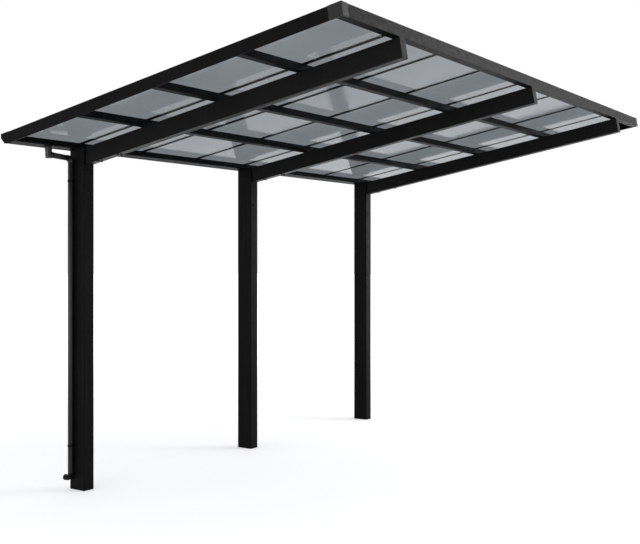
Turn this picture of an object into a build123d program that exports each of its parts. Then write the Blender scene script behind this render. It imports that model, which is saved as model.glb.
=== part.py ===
# A cantilever carport: three posts in a row carry three arms, and on the arms lies a
# sloping roof frame with purlins, glazing bars and smoked panes. Millimetres, +Z up.
# X runs from the posts to the free edge, Y along the row of posts, front to back.
# The origin is the centre of the middle post's foot.
import os
from math import cos, radians, sin
from build123d import *

# Posts
post_x = 150.0
post_y = 90.0
post_wall = 4.0
post_edge = 4.0
post_foot = 10.0
post_pitch = 1877.0

# Roof plane: s runs up the slope from the posts' inner face, h is square to the roof
# above the arms' underside.
roof_slope = 9.72
arm_foot_z = 2329.0
roof_overhang = 598.0
roof_reach = 2642.0

# Arms
arm_y = 62.0
arm_h = 122.0
arm_wall = 3.0
arm_edge = 3.0
arm_cap = 5.0

# Purlins
purlin_s = 40.0
purlin_h = 49.0
purlin_wall = 2.0
purlin_first = 606.0
purlin_pitch = 665.0
purlin_count = 3

# Edge rails: a hollow fascia with a lip over the panes and a ledge under them
fascia = 8.0
rail_wall = 2.0
lip_in = 27.0
lip_thick = 3.0
lip_over_pane = 23.0

# Corner caps at the free edge and end caps on the gutter
cap_proud = 2.0
cap_rim = 1.0
cap_front_s = 88.0
cap_side_y = 56.0
cap_gutter_s = 84.0
cap_shoulder = 15.0

# Gutter: hangs over the posts' outer faces, with its floor on the posts' tops
gutter_proud = 19.0
gutter_w = 114.0
gutter_rise = 7.0
gutter_bevel_s = 32.0
gutter_bevel_h = 42.0
gutter_lean = 4.0
gutter_wall = 3.0
gutter_bend = 6.0
gutter_return = 10.0

# Glazing bars and panes
bar_count = 7
bar_foot_y = 20.0
bar_foot_h = 2.0
bar_web_y = 4.0
bar_head_y = 36.0
bar_head_h = 4.0
pane_thick = 3.0
pane_gap = 1.0
pane_over_gutter = 20.0
pane_in_rail = 21.0

# Rainwater parts
pipe_d = 40.0
pipe_wall = 2.0
pipe_clear = 0.5
socket_wall = 2.5
outlet_off_post = 220.0
outlet_h = 80.0
outlet_flare = 4.0
outlet_flange_w = 8.0
outlet_flange_h = 5.0
outlet_socket = 10.0
branch_lift = 2.0
branch_fall = 8.0
elbow_r = 30.0
shoe_z = 84.0
shoe_r = 36.0
shoe_mouth = 22.0
shoe_bead = 2.0
shoe_bead_x = 6.0
clip_under_elbow = 133.0
clip_over_shoe = 197.0
clip_h = 16.0
clip_band = 2.0
clip_stem = 16.0
clip_reach = 44.0

face_x = post_x / 2
roof_length = 2 * (post_pitch + roof_overhang)
half_length = roof_length / 2
inner_y = half_length - fascia
slope_c = cos(radians(roof_slope))
slope_s = sin(radians(roof_slope))
post_rows = (("front", -post_pitch), ("middle", 0.0), ("back", post_pitch))

# Heights of the layers over the arms
frame_low = arm_h
purlin_high = frame_low + purlin_h
pane_low = purlin_high + bar_foot_h
pane_high = pane_low + pane_thick
frame_high = pane_high + lip_over_pane

# The gutter's section, from the posts' outer face
gutter_out = -post_x - gutter_proud
gutter_in = gutter_out + gutter_w
gutter_low = frame_low + gutter_rise
gutter_knee = gutter_low + gutter_bevel_h
gutter_floor_out = gutter_out + gutter_bevel_s
gutter_top_out = gutter_out + gutter_lean
gutter_cap_in = gutter_out + cap_gutter_s


def spot(s, y, h):
    # A point given along the slope, along the row of posts and square to the roof.
    return (face_x + s * slope_c - h * slope_s, y, arm_foot_z + s * slope_s + h * slope_c)


def end_plane(y):
    # Looks along Y: local X climbs the slope, local Y is square to the roof.
    return Plane(origin=spot(0, y, 0), x_dir=(slope_c, 0, slope_s), z_dir=(0, -1, 0))


def cross_plane(s):
    # Looks up the slope: local X is Y, local Y is square to the roof.
    return Plane(origin=spot(s, 0, 0), x_dir=(0, 1, 0), z_dir=(slope_c, 0, slope_s))


def roof_plane(h):
    # Lies in the roof: local X climbs the slope, local Y is Y.
    return Plane(origin=spot(0, 0, h), x_dir=(slope_c, 0, slope_s), z_dir=(-slope_s, 0, slope_c))


def area(a0, a1, b0, b1, mode=Mode.ADD):
    # One rectangle of the section being drawn, by its edges.
    with Locations(((a0 + a1) / 2, (b0 + b1) / 2)):
        Rectangle(abs(a1 - a0), abs(b1 - b0), mode=mode)


def save(node, shape):
    shape.label = node
    export_step(shape, "parts/" + node + ".step")


os.makedirs("parts", exist_ok=True)

# Posts: box sections closed by a foot plate, cut to the slope under the gutter.
for row, y in post_rows:
    with BuildPart() as post:
        with BuildSketch(Plane.XY):
            with Locations((0, y)):
                RectangleRounded(post_x, post_y, post_edge)
        extrude(amount=arm_foot_z + 2 * arm_h)
        with BuildSketch(Plane.XY.offset(post_foot)):
            with Locations((0, y)):
                Rectangle(post_x - 2 * post_wall, post_y - 2 * post_wall)
        extrude(amount=arm_foot_z + 2 * arm_h, mode=Mode.SUBTRACT)
        with BuildSketch(roof_plane(gutter_low)):
            with Locations((0, y)):
                Rectangle(4 * post_x, 4 * post_y)
        extrude(amount=4 * arm_h, mode=Mode.SUBTRACT)
    save("post_" + row, post.part)

# Arms: box sections that start on the posts' inner faces and end under the free edge.
for row, y in post_rows:
    with BuildPart() as arm:
        with BuildSketch(cross_plane(-post_x)):
            with Locations((y, arm_h / 2)):
                RectangleRounded(arm_y, arm_h, arm_edge)
                Rectangle(arm_y - 2 * arm_wall, arm_h - 2 * arm_wall, mode=Mode.SUBTRACT)
        extrude(amount=post_x + roof_reach - arm_cap)
        with Locations((face_x - 2 * post_x, y, arm_foot_z)):
            Box(4 * post_x, 2 * post_y, 8 * arm_h, mode=Mode.SUBTRACT)
    save("arm_" + row, arm.part)
    with BuildPart() as arm_end:
        with BuildSketch(cross_plane(roof_reach - arm_cap)):
            with Locations((y, arm_h / 2)):
                RectangleRounded(arm_y, arm_h, arm_edge)
        extrude(amount=arm_cap)
    save("arm_cap_" + row, arm_end.part)

# Purlins: small box sections across the arms, between the front and back rails.
for n, name in enumerate(("low", "middle", "high")[:purlin_count]):
    s = purlin_first + n * purlin_pitch
    with BuildPart() as purlin:
        with BuildSketch(end_plane(inner_y)):
            with Locations((s, (frame_low + purlin_high) / 2)):
                Rectangle(purlin_s, purlin_h)
                Rectangle(purlin_s - 2 * purlin_wall, purlin_h - 2 * purlin_wall, mode=Mode.SUBTRACT)
        extrude(amount=2 * inner_y)
    save("purlin_" + name, purlin.part)

# Free-edge rail: a box section like the purlins with the fascia and the lip over the panes.
box_high_s = roof_reach - fascia
box_low_s = box_high_s - purlin_s
side_y = half_length - cap_side_y
with BuildPart() as free_rail:
    with BuildSketch(end_plane(inner_y)):
        with Locations(((box_low_s + box_high_s) / 2, (frame_low + purlin_high) / 2)):
            Rectangle(purlin_s, purlin_h)
            Rectangle(purlin_s - 2 * purlin_wall, purlin_h - 2 * purlin_wall, mode=Mode.SUBTRACT)
    extrude(amount=2 * inner_y)
    with BuildSketch(end_plane(side_y)):
        area(box_high_s, roof_reach, frame_low, frame_high)
        with Locations((box_high_s + fascia / 2, (frame_low + frame_high) / 2)):
            Rectangle(
                fascia - 2 * rail_wall,
                frame_high - frame_low - 2 * rail_wall,
                mode=Mode.SUBTRACT,
            )
        area(box_high_s - lip_in, box_high_s, frame_high - lip_thick, frame_high)
        area(box_high_s - lip_in, box_high_s - lip_in + lip_thick, pane_high, frame_high)
    extrude(amount=2 * side_y)
save("rail_free_edge", free_rail.part)

# Front and back rails: the fascia with a thin ledge under the panes and a lip over them.
rail_low_s = gutter_cap_in
rail_high_s = roof_reach - cap_front_s
for row, side in (("front", -1), ("back", 1)):
    lip_y = side * (inner_y - lip_in)
    with BuildPart() as rail:
        with BuildSketch(cross_plane(rail_low_s)):
            area(side * half_length, side * inner_y, frame_low, frame_high)
            with Locations((side * (inner_y + fascia / 2), (frame_low + frame_high) / 2)):
                Rectangle(
                    fascia - 2 * rail_wall,
                    frame_high - frame_low - 2 * rail_wall,
                    mode=Mode.SUBTRACT,
                )
            area(side * inner_y, lip_y, frame_high - lip_thick, frame_high)
            area(lip_y, lip_y + side * lip_thick, pane_high, frame_high)
            area(side * inner_y, lip_y, purlin_high, pane_low)
        extrude(amount=rail_high_s - rail_low_s)
    save("rail_" + row, rail.part)

# Gutter: an open trough with a bevelled outer wall, between its two end caps.
w = gutter_wall
gutter_outer = (
    (gutter_top_out, frame_high),
    (gutter_out, gutter_knee),
    (gutter_floor_out, gutter_low),
    (gutter_in, gutter_low),
    (gutter_in, purlin_high),
)
gutter_inner = (
    (gutter_in - w, purlin_high),
    (gutter_in - w, gutter_low + w),
    (gutter_floor_out + 0.5 * w, gutter_low + w),
    (gutter_out + w, gutter_knee + 0.3 * w),
    (gutter_top_out + w, frame_high),
)
outlet_s = (gutter_floor_out + gutter_in) / 2
pipe_x, _, outlet_top_z = spot(outlet_s, 0, gutter_low)
outlet_y = -post_pitch - post_y / 2 - outlet_off_post
outlet_r_low = pipe_d / 2 + 1
outlet_r_top = outlet_r_low + outlet_flare
with BuildPart() as gutter:
    with BuildSketch(end_plane(inner_y)):
        with BuildLine():
            FilletPolyline(*gutter_outer, radius=gutter_bend)
            Line(gutter_outer[-1], gutter_inner[0])
            FilletPolyline(*gutter_inner, radius=gutter_bend - w)
            Line(gutter_inner[-1], gutter_outer[0])
        make_face()
        area(gutter_top_out, gutter_top_out + gutter_return, frame_high - w, frame_high)
    extrude(amount=2 * inner_y)
    with Locations((pipe_x, outlet_y, outlet_top_z)):
        Cylinder(outlet_r_top - pipe_wall, 2 * gutter_w, mode=Mode.SUBTRACT)
save("gutter", gutter.part)

# Gutter end caps: plates with the gutter's outline, a little proud of the rails.
cap_outline = (
    (gutter_top_out - cap_rim, frame_high + cap_rim),
    (gutter_out - cap_rim, gutter_knee),
    (gutter_floor_out - cap_rim, gutter_low - cap_rim),
    (gutter_cap_in - cap_shoulder, frame_low - cap_rim),
    (gutter_cap_in, frame_low - cap_rim),
    (gutter_cap_in, frame_high + cap_rim),
)
for row, y in (("front", -inner_y), ("back", half_length + cap_proud)):
    with BuildPart() as gutter_cap:
        with BuildSketch(end_plane(y)):
            Polygon(*cap_outline, align=None)
        extrude(amount=fascia + cap_proud)
    save("corner_gutter_" + row, gutter_cap.part)

# Free-edge corners: caps that wrap the rails' ends, open below and inward.
for row, side in (("front", -1), ("back", 1)):
    y_out = side * (half_length + cap_proud)
    with BuildPart() as corner:
        with BuildSketch(cross_plane(rail_high_s)):
            area(side * side_y, y_out, frame_low - cap_rim, frame_high + cap_rim)
        extrude(amount=roof_reach + cap_proud - rail_high_s)
        with BuildSketch(cross_plane(rail_high_s)):
            area(side * side_y, side * inner_y, frame_low - cap_rim, frame_high - lip_thick)
        extrude(amount=box_high_s - rail_high_s, mode=Mode.SUBTRACT)
    save("corner_free_" + row, corner.part)

# Glazing bars: foot under the panes, web between them, head strip over them.
bar_step = roof_length / (bar_count + 1)
bar_low_s = gutter_in - pane_over_gutter
bar_high_s = box_high_s - lip_in
bar_rows = [bar_step * (n + 1) - half_length for n in range(bar_count)]
for n, y in enumerate(bar_rows):
    with BuildPart() as bar:
        with BuildSketch(cross_plane(bar_low_s)):
            area(y - bar_foot_y / 2, y + bar_foot_y / 2, purlin_high, pane_low)
            area(y - bar_web_y / 2, y + bar_web_y / 2, purlin_high, pane_high + bar_head_h)
            area(y - bar_head_y / 2, y + bar_head_y / 2, pane_high, pane_high + bar_head_h)
        extrude(amount=bar_high_s - bar_low_s)
    save("glazing_bar_" + str(n + 1), bar.part)

# Panes: one sheet a bay, from over the gutter to inside the free-edge rail.
pane_edges = [-inner_y] + bar_rows + [inner_y]
pane_high_s = bar_high_s + pane_in_rail
for n in range(bar_count + 1):
    y_low = pane_edges[n] + (bar_web_y / 2 if n > 0 else 0) + pane_gap
    y_high = pane_edges[n + 1] - (bar_web_y / 2 if n < bar_count else 0) - pane_gap
    with BuildPart() as pane:
        with BuildSketch(cross_plane(bar_low_s)):
            area(y_low, y_high, pane_low, pane_high)
        extrude(amount=pane_high_s - bar_low_s)
    save("pane_" + str(n + 1), pane.part)

# Gutter outlet: a flared pot under the gutter with a flange and a socket for the branch pipe.
post_front_y = -post_pitch - post_y / 2
pipe_y = post_front_y - pipe_clear - socket_wall - pipe_d / 2
pipe_r = pipe_d / 2
outlet_low_z = outlet_top_z - outlet_h
branch_z = outlet_low_z + pipe_wall + pipe_r + branch_lift
socket_out_y = outlet_y + outlet_r_top + outlet_socket
with BuildPart() as outlet:
    with Locations((pipe_x, outlet_y, outlet_low_z)):
        Cone(
            outlet_r_low,
            outlet_r_top + outlet_flare,
            2 * outlet_h,
            align=(Align.CENTER, Align.CENTER, Align.MIN),
        )
    with BuildSketch(roof_plane(gutter_low - outlet_flange_h)):
        with Locations((outlet_s, outlet_y)):
            Circle(outlet_r_top + outlet_flange_w)
    extrude(amount=outlet_flange_h)
    with BuildSketch(roof_plane(gutter_low)):
        with Locations((outlet_s, outlet_y)):
            Rectangle(4 * outlet_h, 4 * outlet_h)
    extrude(amount=4 * outlet_h, mode=Mode.SUBTRACT)
    with BuildSketch(Plane(origin=(pipe_x, outlet_y, branch_z), x_dir=(1, 0, 0), z_dir=(0, 1, 0))):
        Circle(pipe_r + socket_wall)
    extrude(amount=socket_out_y - outlet_y)
    with Locations((pipe_x, outlet_y, outlet_low_z + pipe_wall)):
        Cone(
            outlet_r_low - pipe_wall,
            outlet_r_top + outlet_flare - pipe_wall,
            2 * outlet_h,
            align=(Align.CENTER, Align.CENTER, Align.MIN),
            mode=Mode.SUBTRACT,
        )
    with BuildSketch(Plane(origin=(pipe_x, outlet_y, branch_z), x_dir=(1, 0, 0), z_dir=(0, 1, 0))):
        Circle(pipe_r - pipe_wall)
    extrude(amount=socket_out_y - outlet_y, mode=Mode.SUBTRACT)
save("gutter_outlet", outlet.part)

# Branch pipe: nearly level from the outlet to the elbow at the front post.
elbow_y = pipe_y - elbow_r
elbow_z = branch_z - branch_fall
with BuildPart() as branch:
    fall = Vector(0, elbow_y - socket_out_y, -branch_fall)
    with BuildSketch(Plane(origin=(pipe_x, socket_out_y, branch_z), x_dir=(1, 0, 0), z_dir=fall)):
        Circle(pipe_r)
        Circle(pipe_r - pipe_wall, mode=Mode.SUBTRACT)
    extrude(amount=fall.length + pipe_r)
    with Locations((pipe_x, socket_out_y - pipe_d, branch_z)):
        Box(2 * pipe_d, 2 * pipe_d, 2 * pipe_d, mode=Mode.SUBTRACT)
    with Locations((pipe_x, elbow_y + pipe_d, elbow_z)):
        Box(2 * pipe_d, 2 * pipe_d, 2 * pipe_d, mode=Mode.SUBTRACT)
save("drain_branch", branch.part)

# Elbow: turns the branch pipe down in front of the post.
with BuildPart() as elbow:
    with BuildLine() as elbow_path:
        TangentArc(
            (pipe_x, elbow_y, elbow_z),
            (pipe_x, pipe_y, elbow_z - elbow_r),
            tangent=(0, 1, 0),
        )
    with BuildSketch(Plane(origin=(pipe_x, elbow_y, elbow_z), x_dir=(1, 0, 0), z_dir=(0, 1, 0))):
        Circle(pipe_r + socket_wall)
        Circle(pipe_r - pipe_wall, mode=Mode.SUBTRACT)
    sweep(path=elbow_path.wires()[0])
save("drain_elbow", elbow.part)

# Downpipe: straight down the front face of the front post.
down_top = elbow_z - elbow_r
down_low = shoe_z + shoe_r
with BuildPart() as down:
    with BuildSketch(Plane(origin=(pipe_x, pipe_y, down_low), z_dir=(0, 0, 1))):
        Circle(pipe_r)
        Circle(pipe_r - pipe_wall, mode=Mode.SUBTRACT)
    extrude(amount=down_top - down_low)
save("downpipe", down.part)

# Shoe: turns the downpipe out past the post, with a rolled end.
shoe_x = pipe_x - shoe_r
with BuildPart() as shoe:
    with BuildLine() as shoe_path:
        TangentArc((pipe_x, pipe_y, down_low), (shoe_x, pipe_y, shoe_z), tangent=(0, 0, -1))
    with BuildSketch(Plane(origin=(pipe_x, pipe_y, down_low), z_dir=(0, 0, -1))):
        Circle(pipe_r)
        Circle(pipe_r - pipe_wall, mode=Mode.SUBTRACT)
    sweep(path=shoe_path.wires()[0])
    with BuildSketch(Plane(origin=(shoe_x, pipe_y, shoe_z), z_dir=(-1, 0, 0))):
        Circle(pipe_r)
        Circle(pipe_r - pipe_wall, mode=Mode.SUBTRACT)
    extrude(amount=shoe_mouth)
    with BuildSketch(Plane(origin=(shoe_x - shoe_mouth, pipe_y, shoe_z), z_dir=(1, 0, 0))):
        Circle(pipe_r + shoe_bead)
        Circle(pipe_r - pipe_wall, mode=Mode.SUBTRACT)
    extrude(amount=shoe_bead_x)
save("downpipe_shoe", shoe.part)

# Pipe clips: a band round the downpipe, a stem to the post and a foot with room for a screw.
clip_spots = (down_top - clip_under_elbow, down_low + clip_over_shoe)
for name, z in zip(("high", "low"), clip_spots):
    with BuildPart() as clip:
        with BuildSketch(Plane.XY.offset(z - clip_h / 2)):
            with Locations((pipe_x, pipe_y)):
                Circle(pipe_r + clip_band)
            area(pipe_x - clip_stem / 2, pipe_x + clip_stem / 2, pipe_y, post_front_y)
            area(pipe_x, pipe_x + clip_reach, post_front_y - clip_band, post_front_y)
            with Locations((pipe_x, pipe_y)):
                Circle(pipe_r, mode=Mode.SUBTRACT)
        extrude(amount=clip_h)
    save("pipe_clip_" + name, clip.part)
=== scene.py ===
import math

import bmesh
import bpy
from mathutils import Matrix, Vector


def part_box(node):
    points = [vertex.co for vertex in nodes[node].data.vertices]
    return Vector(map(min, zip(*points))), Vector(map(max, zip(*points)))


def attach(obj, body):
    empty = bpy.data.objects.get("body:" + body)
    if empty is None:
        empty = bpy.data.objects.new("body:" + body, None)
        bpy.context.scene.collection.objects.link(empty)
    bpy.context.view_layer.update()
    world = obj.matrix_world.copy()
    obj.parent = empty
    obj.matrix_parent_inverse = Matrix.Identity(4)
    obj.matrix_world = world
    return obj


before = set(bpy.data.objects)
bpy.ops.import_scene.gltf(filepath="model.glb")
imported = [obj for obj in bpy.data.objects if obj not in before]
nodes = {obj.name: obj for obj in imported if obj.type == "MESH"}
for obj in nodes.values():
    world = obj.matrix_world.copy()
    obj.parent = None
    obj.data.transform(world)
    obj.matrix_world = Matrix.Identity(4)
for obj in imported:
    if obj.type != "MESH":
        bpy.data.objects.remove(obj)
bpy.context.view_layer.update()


def middle(node):
    """The centre of a CAD node's box."""
    low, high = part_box(node)
    return (Vector(low) + Vector(high)) / 2


def size(node):
    low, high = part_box(node)
    return Vector(high) - Vector(low)


# The roof's own directions, along its slope and square to it, and the point that its places are given
# from, where an arm's underside meets a post's inner face.
CLIMB = middle("purlin_high") - middle("purlin_low")
ALONG = Vector((CLIMB.x, 0, CLIMB.z)).normalized()
UP = Vector((-ALONG.z, 0, ALONG.x))
ARM_LOW = Vector(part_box("arm_middle")[0])
START = Vector((ARM_LOW.x, 0, ARM_LOW.z))


def span(node, way):
    """Where a CAD node begins and ends in one of the roof's directions."""
    places = [(v.co - START).dot(way) for v in nodes[node].data.vertices]
    return min(places), max(places)


def spot(s, y, h):
    """A point of the roof: s up its slope, y along the row of posts, h square to it."""
    return START + Vector((0, y, 0)) + s * ALONG + h * UP


# Sizes and places of the CAD's parts, read from the frame, in metres.
POSTS = [middle("post_" + row).y for row in ("front", "middle", "back")]
POST_X, POST_Y = size("post_middle").xy
ARM_Y = size("arm_middle").y
ARM_H = span("arm_cap_middle", UP)[1]
REACH = span("arm_cap_middle", ALONG)[1]
PURLINS = [(middle("purlin_" + row) - START).dot(ALONG) for row in ("low", "middle", "high")]
BARS = [middle(name).y for name in sorted(nodes) if name.startswith("glazing_bar_")]
BAR_Y = size("glazing_bar_1").y
BAR_START, BAR_END = span("glazing_bar_1", ALONG)
BAR_LOW, BAR_HIGH = span("glazing_bar_1", UP)
PANE_HIGH = span("pane_1", UP)[1]
RAIL_START = span("rail_front", ALONG)[0]
FRONT_LIP, BACK_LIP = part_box("rail_front")[1][1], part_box("rail_back")[0][1]

# Places of the screws and bolts, the posts' and arms' from the photo.
POST_SCREW_DROPS, POST_SCREW_ASIDE = (0.050, 0.203), 0.012
ARM_BOLT_S, ARM_BOLT_ASIDE = (0.118, 0.318), 0.016
CAP_SCREW_UNDER, SIDE_SCREW_BACK = 0.020, 0.045
BAR_SCREW_FIRST, BAR_SCREW_BACK = 0.020, 0.022
CLIP_SCREW_ASIDE, CLIP_PLATE = 0.036, 0.002

# Sizes of the heads and washers as radius and height, and how far each is let into what it sits on.
POST_SCREW = (0.0085, 0.0045)
ARM_BOLT_WASHER, ARM_BOLT = (0.0095, 0.0015), (0.0070, 0.0060)
CAP_SCREW = (0.0055, 0.0032)
BAR_SCREW_WASHER, BAR_SCREW = (0.0080, 0.0014), (0.0055, 0.0036)
CLIP_SCREW = (0.0048, 0.0030)
HEAD_IN_FACE, WASHER_IN_FACE, HEAD_IN_WASHER = 0.0004, 0.0003, 0.0002
HEAD_SIDES = 24

# Sizes of the seals as width and height, and of the plugs in the bars' low ends.
BAR_SEAL, RAIL_SEAL = (0.0026, 0.0030), (0.0030, 0.0040)
PLUG_THICK, PLUG_STEM_Y, PLUG_UNDER_PANE, PLUG_OVER_FOOT = 0.0016, 0.020, 0.0005, 0.0002


# Shader nodes.
def tree(name):
    mat = bpy.data.materials.new(name)
    mat.use_nodes = True
    nt = mat.node_tree
    return mat, nt, nt.nodes["Principled BSDF"], nt.nodes["Material Output"]


def node(nt, kind, **values):
    n = nt.nodes.new(kind)
    for key, value in values.items():
        setattr(n, key, value)
    return n


def object_place(nt):
    return node(nt, "ShaderNodeTexCoord").outputs["Object"]


def noise(nt, coords, scale, detail=3.0, stretch=None):
    tex = node(nt, "ShaderNodeTexNoise")
    tex.inputs["Scale"].default_value = scale
    tex.inputs["Detail"].default_value = detail
    if stretch:
        mapping = node(nt, "ShaderNodeMapping")
        mapping.inputs["Scale"].default_value = stretch
        nt.links.new(coords, mapping.inputs["Vector"])
        coords = mapping.outputs["Vector"]
    nt.links.new(coords, tex.inputs["Vector"])
    return tex.outputs["Fac"]


def ramp(nt, source, low, high, to_low=0.0, to_high=1.0):
    r = node(nt, "ShaderNodeMapRange")
    for key, value in (("From Min", low), ("From Max", high), ("To Min", to_low), ("To Max", to_high)):
        r.inputs[key].default_value = value
    nt.links.new(source, r.inputs["Value"])
    return r.outputs["Result"]


def times(nt, a, b):
    m = node(nt, "ShaderNodeMath", operation="MULTIPLY")
    nt.links.new(a, m.inputs[0])
    if isinstance(b, float):
        m.inputs[1].default_value = b
    else:
        nt.links.new(b, m.inputs[1])
    return m.outputs[0]


def larger(nt, a, b):
    m = node(nt, "ShaderNodeMath", operation="MAXIMUM")
    nt.links.new(a, m.inputs[0])
    nt.links.new(b, m.inputs[1])
    return m.outputs[0]


def mix(nt, share, a, b):
    """Mixes two colours, each a tuple or a socket, by a share of the second."""
    m = node(nt, "ShaderNodeMix", data_type="RGBA")
    nt.links.new(share, m.inputs["Factor"])
    # The colour sockets are the third pair of a Mix node.
    for index, value in ((6, a), (7, b)):
        if isinstance(value, tuple):
            m.inputs[index].default_value = value
        else:
            nt.links.new(value, m.inputs[index])
    return m.outputs[2]


def bumped(nt, bsdf, height, strength, distance):
    bump = node(nt, "ShaderNodeBump")
    bump.inputs["Strength"].default_value = strength
    bump.inputs["Distance"].default_value = distance
    nt.links.new(height, bump.inputs["Height"])
    nt.links.new(bump.outputs["Normal"], bsdf.inputs["Normal"])


def two_way(nt, share, first, second, out):
    """Mixes two shaders by a share of the second, into an output's surface."""
    both = node(nt, "ShaderNodeMixShader")
    nt.links.new(share, both.inputs[0])
    nt.links.new(first.outputs[0], both.inputs[1])
    nt.links.new(second.outputs[0], both.inputs[2])
    nt.links.new(both.outputs[0], out.inputs["Surface"])


# Materials.
def coat(name, tone, rough, shine, dust=0.10, peel=0.10):
    """Powder coat: a fine orange peel, soft large variation, dust on what faces up and rain marks."""
    mat, nt, bsdf, _ = tree(name)
    at = object_place(nt)
    light = tuple(c * 1.22 for c in tone) + (1.0,)
    dark = tuple(c * 0.84 for c in tone) + (1.0,)
    cloud = ramp(nt, noise(nt, at, 2.3, 4.0), 0.32, 0.68)
    marks = ramp(nt, noise(nt, at, 1.0, 5.0, (55.0, 55.0, 2.2)), 0.56, 0.78)
    body = mix(nt, cloud, dark, light)
    body = mix(nt, times(nt, marks, 0.10), body, (0.055, 0.055, 0.054, 1.0))
    normal = node(nt, "ShaderNodeSeparateXYZ")
    nt.links.new(node(nt, "ShaderNodeNewGeometry").outputs["Normal"], normal.inputs[0])
    facing_up = ramp(nt, normal.outputs["Z"], 0.45, 0.95)
    film = times(nt, times(nt, facing_up, ramp(nt, noise(nt, at, 34.0, 6.0), 0.36, 0.74)), dust)
    body = mix(nt, film, body, (0.20, 0.19, 0.175, 1.0))
    nt.links.new(body, bsdf.inputs["Base Color"])
    sheen = ramp(nt, noise(nt, at, 26.0, 4.0), 0.3, 0.7, rough - 0.05, rough + 0.06)
    nt.links.new(sheen, bsdf.inputs["Roughness"])
    bumped(nt, bsdf, noise(nt, at, 1100.0, 2.0), peel, 0.0004)
    bsdf.inputs["Specular IOR Level"].default_value = shine
    return mat


def smoked(name):
    """Smoked clear sheet: tinted, glossy, a little cloudy; lamps shine through it."""
    mat, nt, bsdf, out = tree(name)
    at = object_place(nt)
    cloud = ramp(nt, noise(nt, at, 1.6, 3.0), 0.3, 0.7)
    tint = mix(nt, cloud, (0.210, 0.233, 0.252, 1.0), (0.238, 0.260, 0.280, 1.0))
    nt.links.new(tint, bsdf.inputs["Base Color"])
    bsdf.inputs["Transmission Weight"].default_value = 1.0
    bsdf.inputs["IOR"].default_value = 1.088
    nt.links.new(ramp(nt, noise(nt, at, 9.0, 5.0), 0.3, 0.75, 0.07, 0.13), bsdf.inputs["Roughness"])
    path = node(nt, "ShaderNodeLightPath")
    passing = larger(nt, path.outputs["Is Shadow Ray"], path.outputs["Is Diffuse Ray"])
    clear = node(nt, "ShaderNodeBsdfTransparent")
    clear.inputs["Color"].default_value = (0.24, 0.27, 0.29, 1.0)
    two_way(nt, passing, bsdf, clear, out)
    return mat


def rubber(name):
    mat, nt, bsdf, _ = tree(name)
    at = object_place(nt)
    patch = ramp(nt, noise(nt, at, 45.0, 5.0), 0.35, 0.7)
    tone = mix(nt, patch, (0.008, 0.008, 0.008, 1.0), (0.022, 0.021, 0.020, 1.0))
    nt.links.new(tone, bsdf.inputs["Base Color"])
    nt.links.new(ramp(nt, noise(nt, at, 80.0, 3.0), 0.3, 0.7, 0.72, 0.88), bsdf.inputs["Roughness"])
    bumped(nt, bsdf, noise(nt, at, 600.0, 2.0), 0.25, 0.0005)
    return mat


def steel(name, tone, rough):
    mat, nt, bsdf, _ = tree(name)
    at = object_place(nt)
    dull = tuple(c * 0.7 for c in tone) + (1.0,)
    patch = ramp(nt, noise(nt, at, 160.0, 4.0), 0.3, 0.7)
    nt.links.new(mix(nt, patch, dull, tone + (1.0,)), bsdf.inputs["Base Color"])
    sheen = ramp(nt, noise(nt, at, 420.0, 3.0), 0.3, 0.7, rough - 0.07, rough + 0.1)
    nt.links.new(sheen, bsdf.inputs["Roughness"])
    bsdf.inputs["Metallic"].default_value = 1.0
    return mat


FRAME_COAT = coat("frame_coat", (0.0039, 0.0040, 0.0041), 0.46, 0.035)
# The arms are the same powder coat as the frame. Their coat is a lighter, shinier copy of it, which
# paints light onto the arms' sides and undersides.
ARM_COAT_PAINTED_LIGHT = coat("arm_coat_painted_light", (0.0060, 0.0061, 0.0063), 0.46, 0.07)
CAP_COAT = coat("arm_cap_coat", (0.0055, 0.0056, 0.0058), 0.46, 0.04)
CORNER_COAT = coat("corner_cap_coat", (0.0240, 0.0242, 0.0246), 0.46, 0.08)
PIPE_COAT = coat("rain_pipe_coat", (0.0110, 0.0112, 0.0116), 0.32, 0.26, 0.10, 0.05)
FITTING_COAT = coat("pipe_fitting_coat", (0.0035, 0.0036, 0.0038), 0.42, 0.05, 0.08, 0.05)
SCREW_COAT = coat("screw_coat", (0.0035, 0.0036, 0.0038), 0.40, 0.10, 0.05, 0.04)
SMOKED_PANE = smoked("smoked_pane")
RUBBER = rubber("seal_rubber")
BRIGHT_STEEL = steel("stainless_steel", (0.52, 0.52, 0.51), 0.32)


def finish_for(name):
    if name.startswith("pane_"):
        return SMOKED_PANE
    if name.startswith("arm_cap"):
        return CAP_COAT
    # The arms get the lighter copy of the frame's coat, which is painted light.
    if name.startswith("arm_"):
        return ARM_COAT_PAINTED_LIGHT
    if name.startswith("corner_free"):
        return CORNER_COAT
    if name.startswith(("downpipe_shoe", "pipe_clip")):
        return FITTING_COAT
    if name.startswith(("drain", "downpipe", "gutter_outlet")):
        return PIPE_COAT
    return FRAME_COAT


def rounding_for(name):
    """How far the render rounds a node's edges."""
    if name.startswith(("drain", "downpipe", "gutter_outlet", "pipe_clip")):
        return 0.0005
    if name.startswith("glazing_bar"):
        return 0.0004
    return 0.0008


# The CAD's own nodes. The panes get no modifiers: with them, dark wedges show in the render.
for name, obj in nodes.items():
    obj.data.materials.clear()
    obj.data.materials.append(finish_for(name))
    if name.startswith("pane_"):
        continue
    weld = obj.modifiers.new("weld", "WELD")
    weld.merge_threshold = 0.00002
    bevel = obj.modifiers.new("edge", "BEVEL")
    bevel.width = rounding_for(name)
    bevel.segments = 2
    bevel.limit_method = "ANGLE"
    bevel.angle_limit = math.radians(38)
    bevel.harden_normals = True


# Building small pieces.
def piece(name, bm, mat, smooth=True):
    bmesh.ops.recalc_face_normals(bm, faces=bm.faces)
    mesh = bpy.data.meshes.new(name)
    bm.to_mesh(mesh)
    bm.free()
    mesh.materials.append(mat)
    for p in mesh.polygons:
        p.use_smooth = smooth
    obj = bpy.data.objects.new(name, mesh)
    bpy.context.scene.collection.objects.link(obj)
    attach(obj, "root")


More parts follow.
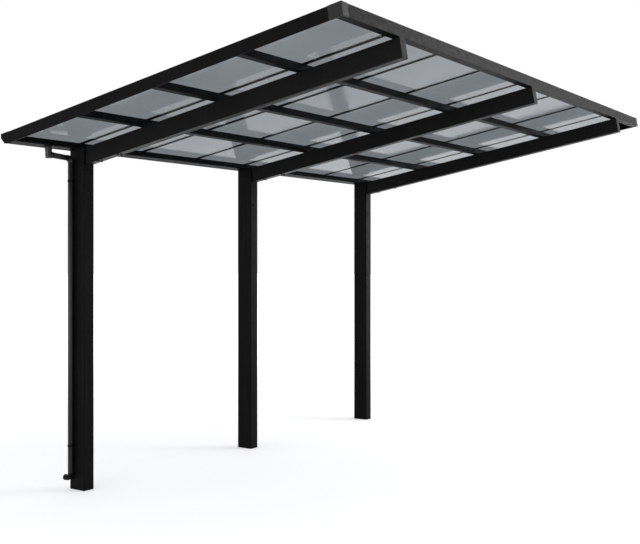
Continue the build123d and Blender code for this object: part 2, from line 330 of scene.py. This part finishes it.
def seat(point, out):
    """A matrix whose Z is the outward direction at a point on a face."""
    z = Vector(out).normalized()
    x = z.orthogonal().normalized()
    if abs(z.y) < 0.9:
        x = Vector((0, 1, 0)).cross(z).normalized()
    y = z.cross(x)
    return Matrix.Translation(Vector(point)) @ Matrix((x, y, z)).transposed().to_4x4()


def turned(bm, at, profile, hexagon=()):
    """Spins (radius, height) points round Z of the seat; rings named in hexagon get six corners."""
    rings = []
    for index, (r, h) in enumerate(profile):
        if r == 0:
            rings.append([bm.verts.new(at @ Vector((0, 0, h)))])
            continue
        ring = []
        for k in range(HEAD_SIDES):
            a = 2 * math.pi * k / HEAD_SIDES
            rr = r
            if index in hexagon:
                b = (a % (math.pi / 3)) - math.pi / 6
                rr = r * math.cos(math.pi / 6) / math.cos(b)
            ring.append(bm.verts.new(at @ Vector((rr * math.cos(a), rr * math.sin(a), h))))
        rings.append(ring)
    for a, b in zip(rings, rings[1:]):
        for k in range(HEAD_SIDES):
            n = (k + 1) % HEAD_SIDES
            if len(b) == 1:
                bm.faces.new((a[k], a[n], b[0]))
            elif len(a) == 1:
                bm.faces.new((a[0], b[n], b[k]))
            else:
                bm.faces.new((a[k], a[n], b[n], b[k]))


def pan_head(bm, point, out, r, h):
    """A pan head with a hexagon socket, closed below just inside the face it sits on."""
    foot = [(0, -HEAD_IN_FACE), (r * 0.98, -HEAD_IN_FACE), (r, 0)]
    dome = [(r, h * 0.30), (r * 0.93, h * 0.62), (r * 0.74, h * 0.90), (r * 0.52, h)]
    socket = [(r * 0.46, h), (r * 0.43, h * 0.93), (r * 0.42, h * 0.35)]
    turned(bm, seat(point, out), foot + dome + socket + [(0, h * 0.25)], (7, 8, 9))


def washer(bm, point, out, r, h):
    profile = ((0, -WASHER_IN_FACE), (r, -WASHER_IN_FACE), (r, h * 0.7), (r * 0.94, h), (0, h))
    turned(bm, seat(point, out), profile)


def head_on_washer(bm, point, out, washer_size, head_size):
    washer(bm, point, out, *washer_size)
    pan_head(bm, point + (washer_size[1] - HEAD_IN_WASHER) * out, out, *head_size)


def prism(bm, section, place):
    """A straight strip: section points placed at both ends by place(point, end)."""
    ends = [[bm.verts.new(place(p, end)) for p in section] for end in (0, 1)]
    count = len(section)
    for k in range(count):
        n = (k + 1) % count
        bm.faces.new((ends[0][k], ends[0][n], ends[1][n], ends[1][k]))
    bm.faces.new(list(reversed(ends[0])))
    bm.faces.new(ends[1])


def bead(side, width, height):
    """A quarter-round bead's section: flat on the pane and against the metal, at its origin."""
    angles = [k * math.pi / 8 for k in range(5)]
    return [(0, 0)] + [(side * width * math.cos(a), height * math.sin(a)) for a in angles]


def seal_along(bm, y, side, seal, start, end):
    """A bead up the slope on the panes, against an upright edge at y."""
    ends = (start, end)
    prism(bm, bead(side, *seal), lambda p, e: spot(ends[e], y + p[0], PANE_HIGH + p[1]))


def seal_across(bm, s, seal, start, end):
    """A bead along the row of posts on the panes, against the free edge's lip at s."""
    ends = (start, end)
    prism(bm, bead(-1, *seal), lambda p, e: spot(s + p[0], ends[e], PANE_HIGH + p[1]))


# Screws of the post brackets: two in the inner face of each post.
bm = bmesh.new()
for y in POSTS:
    for drop in POST_SCREW_DROPS:
        pan_head(bm, (POST_X / 2, y - POST_SCREW_ASIDE, START.z - drop), (1, 0, 0), *POST_SCREW)
piece("post_screws", bm, SCREW_COAT)

# Bolts under the arms beside the posts, in pairs, each on a washer.
bm = bmesh.new()
for y in POSTS:
    for s in ARM_BOLT_S:
        for side in (-1, 1):
            head_on_washer(bm, spot(s, y + side * ARM_BOLT_ASIDE, 0), -UP, ARM_BOLT_WASHER, ARM_BOLT)
piece("arm_bolts", bm, SCREW_COAT)

# One screw near the top of each arm's end cap, and one in each of the arm's sides near it.
bm = bmesh.new()
for y in POSTS:
    pan_head(bm, spot(REACH, y, ARM_H - CAP_SCREW_UNDER), ALONG, *CAP_SCREW)
    for side in (-1, 1):
        at = spot(REACH - SIDE_SCREW_BACK, y + side * ARM_Y / 2, ARM_H / 2)
        pan_head(bm, at, (0, side, 0), *CAP_SCREW)
piece("arm_cap_screws", bm, SCREW_COAT)

# Screws through the bars' head strips at every purlin and at both ends.
bm = bmesh.new()
for y in BARS:
    for s in [BAR_SCREW_FIRST] + PURLINS + [BAR_END - BAR_SCREW_BACK]:
        head_on_washer(bm, spot(s, y, BAR_HIGH), UP, BAR_SCREW_WASHER, BAR_SCREW)
piece("bar_screws", bm, BRIGHT_STEEL)

# Clip screws in the front post's outer side, beside the downpipe.
bm = bmesh.new()
screw_x = middle("downpipe").x + CLIP_SCREW_ASIDE
screw_y = POSTS[0] - POST_Y / 2 - CLIP_PLATE
for clip in ("pipe_clip_high", "pipe_clip_low"):
    pan_head(bm, (screw_x, screw_y, middle(clip).z), (0, -1, 0), *CLIP_SCREW)
piece("clip_screws", bm, SCREW_COAT)

# Seals on the panes, along both sides of the bars' head strips.
bm = bmesh.new()
for y in BARS:
    for side in (-1, 1):
        seal_along(bm, y + side * BAR_Y / 2, side, BAR_SEAL, BAR_START, BAR_END)
piece("bar_seals", bm, RUBBER, False)

# Seals on the panes, along the edge rails' lips. The bars end at the free edge's lip.
bm = bmesh.new()
seal_along(bm, FRONT_LIP, 1, RAIL_SEAL, RAIL_START, BAR_END)
seal_along(bm, BACK_LIP, -1, RAIL_SEAL, RAIL_START, BAR_END)
gaps = [FRONT_LIP] + [edge for y in BARS for edge in (y - BAR_Y / 2, y + BAR_Y / 2)] + [BACK_LIP]
for start, end in zip(gaps[::2], gaps[1::2]):
    seal_across(bm, BAR_END, RAIL_SEAL, start, end)
piece("rail_seals", bm, RUBBER, False)

# Plugs that close the low ends of the bars over the gutter.
bm = bmesh.new()
head = [(BAR_Y / 2, BAR_HIGH), (BAR_Y / 2, PANE_HIGH)]
stem = [(PLUG_STEM_Y / 2, PANE_HIGH - PLUG_UNDER_PANE), (PLUG_STEM_Y / 2, BAR_LOW + PLUG_OVER_FOOT)]
outline = head + stem + [(-a, h) for a, h in reversed(head + stem)]
for y in BARS:
    ends = (BAR_START - PLUG_THICK, BAR_START)
    prism(bm, outline, lambda p, e: spot(ends[e], y + p[0], p[1]))
piece("bar_plugs", bm, RUBBER, False)


# Stage.
def background_ray(nt):
    """1 for camera, glossy and transmission rays, which see the white background."""
    path = node(nt, "ShaderNodeLightPath")
    seen = larger(nt, path.outputs["Is Camera Ray"], path.outputs["Is Glossy Ray"])
    return larger(nt, seen, path.outputs["Is Transmission Ray"])


# Far from the object the floor is wholly white to those rays. Near it, where its shadow lies, it glows
# only in part and is lit for the rest.
FLOOR_HALF = 90.0
SHADE_NEAR, SHADE_FAR, NEAR_GLOW = 3.0, 9.0, 0.42
mesh = bpy.data.meshes.new("floor")
corners = [(x * FLOOR_HALF, y * FLOOR_HALF, 0) for x, y in ((-1, -1), (1, -1), (1, 1), (-1, 1))]
mesh.from_pydata(corners, [], [(0, 1, 2, 3)])
floor = bpy.data.objects.new("floor", mesh)
bpy.context.scene.collection.objects.link(floor)
floor_mat, nt, bsdf, out = tree("floor_paint")
bsdf.inputs["Base Color"].default_value = (0.90, 0.90, 0.90, 1.0)
bsdf.inputs["Roughness"].default_value = 0.9
bsdf.inputs["Specular IOR Level"].default_value = 0.1
glow = node(nt, "ShaderNodeEmission")
glow.inputs["Color"].default_value = (1.0, 1.0, 1.0, 1.0)
away = node(nt, "ShaderNodeVectorMath", operation="LENGTH")
nt.links.new(object_place(nt), away.inputs[0])
glow_share = ramp(nt, away.outputs["Value"], SHADE_NEAR, SHADE_FAR, NEAR_GLOW, 1.0)
nt.links.new(times(nt, background_ray(nt), glow_share), glow.inputs["Strength"])
both = node(nt, "ShaderNodeAddShader")
nt.links.new(bsdf.outputs[0], both.inputs[0])
nt.links.new(glow.outputs[0], both.inputs[1])
nt.links.new(both.outputs[0], out.inputs["Surface"])
mesh.materials.append(floor_mat)


def background(nt, colour, strength):
    shade = node(nt, "ShaderNodeBackground")
    shade.inputs["Color"].default_value = colour + (1.0,)
    shade.inputs["Strength"].default_value = strength
    return shade


world = bpy.data.worlds.new("studio")
bpy.context.scene.world = world
world.use_nodes = True
nt = world.node_tree
nt.nodes.clear()
soft = background(nt, (0.97, 0.985, 1.0), 0.60)
white = background(nt, (1.0, 1.0, 1.0), 1.0)
two_way(nt, background_ray(nt), soft, white, node(nt, "ShaderNodeOutputWorld"))


def lamp(name, place, aim, width, height, power):
    data = bpy.data.lights.new(name, "AREA")
    data.shape = "RECTANGLE"
    data.size = width
    data.size_y = height
    data.energy = power
    obj = bpy.data.objects.new(name, data)
    obj.location = place
    obj.rotation_euler = (Vector(aim) - Vector(place)).to_track_quat("-Z", "Y").to_euler()
    bpy.context.scene.collection.objects.link(obj)


lamp("key", (7.0, 6.0, 6.0), (1.2, 0.5, 1.6), 4.0, 4.0, 350.0)
lamp("side", (5.0, 11.0, 2.5), (0.5, 1.0, 1.6), 4.0, 3.0, 300.0)
lamp("fill", (3.0, -20.0, 1.6), (1.0, 0.0, 2.4), 9.0, 5.0, 1300.0)

# Camera, solved from the photo. The focal length and the horizon's shift are in the photo's pixels.
PHOTO_WIDTH, FOCAL_PIXELS, HORIZON_SHIFT = 640, 960.31, 11.313
CAMERA_PLACE, CAMERA_TURN = (5.377, -6.554, 1.642), 35.059
cam = bpy.data.cameras.new("camera")
cam.sensor_fit = "HORIZONTAL"
cam.sensor_width = 36.0
cam.lens = FOCAL_PIXELS / PHOTO_WIDTH * cam.sensor_width
cam.shift_y = -HORIZON_SHIFT / PHOTO_WIDTH
cam.clip_end = 400.0
camera = bpy.data.objects.new("camera", cam)
camera.location = CAMERA_PLACE
camera.rotation_euler = (math.radians(90), 0, math.radians(CAMERA_TURN))
bpy.context.scene.collection.objects.link(camera)
bpy.context.scene.camera = camera
bpy.context.scene.view_settings.view_transform = "Standard"
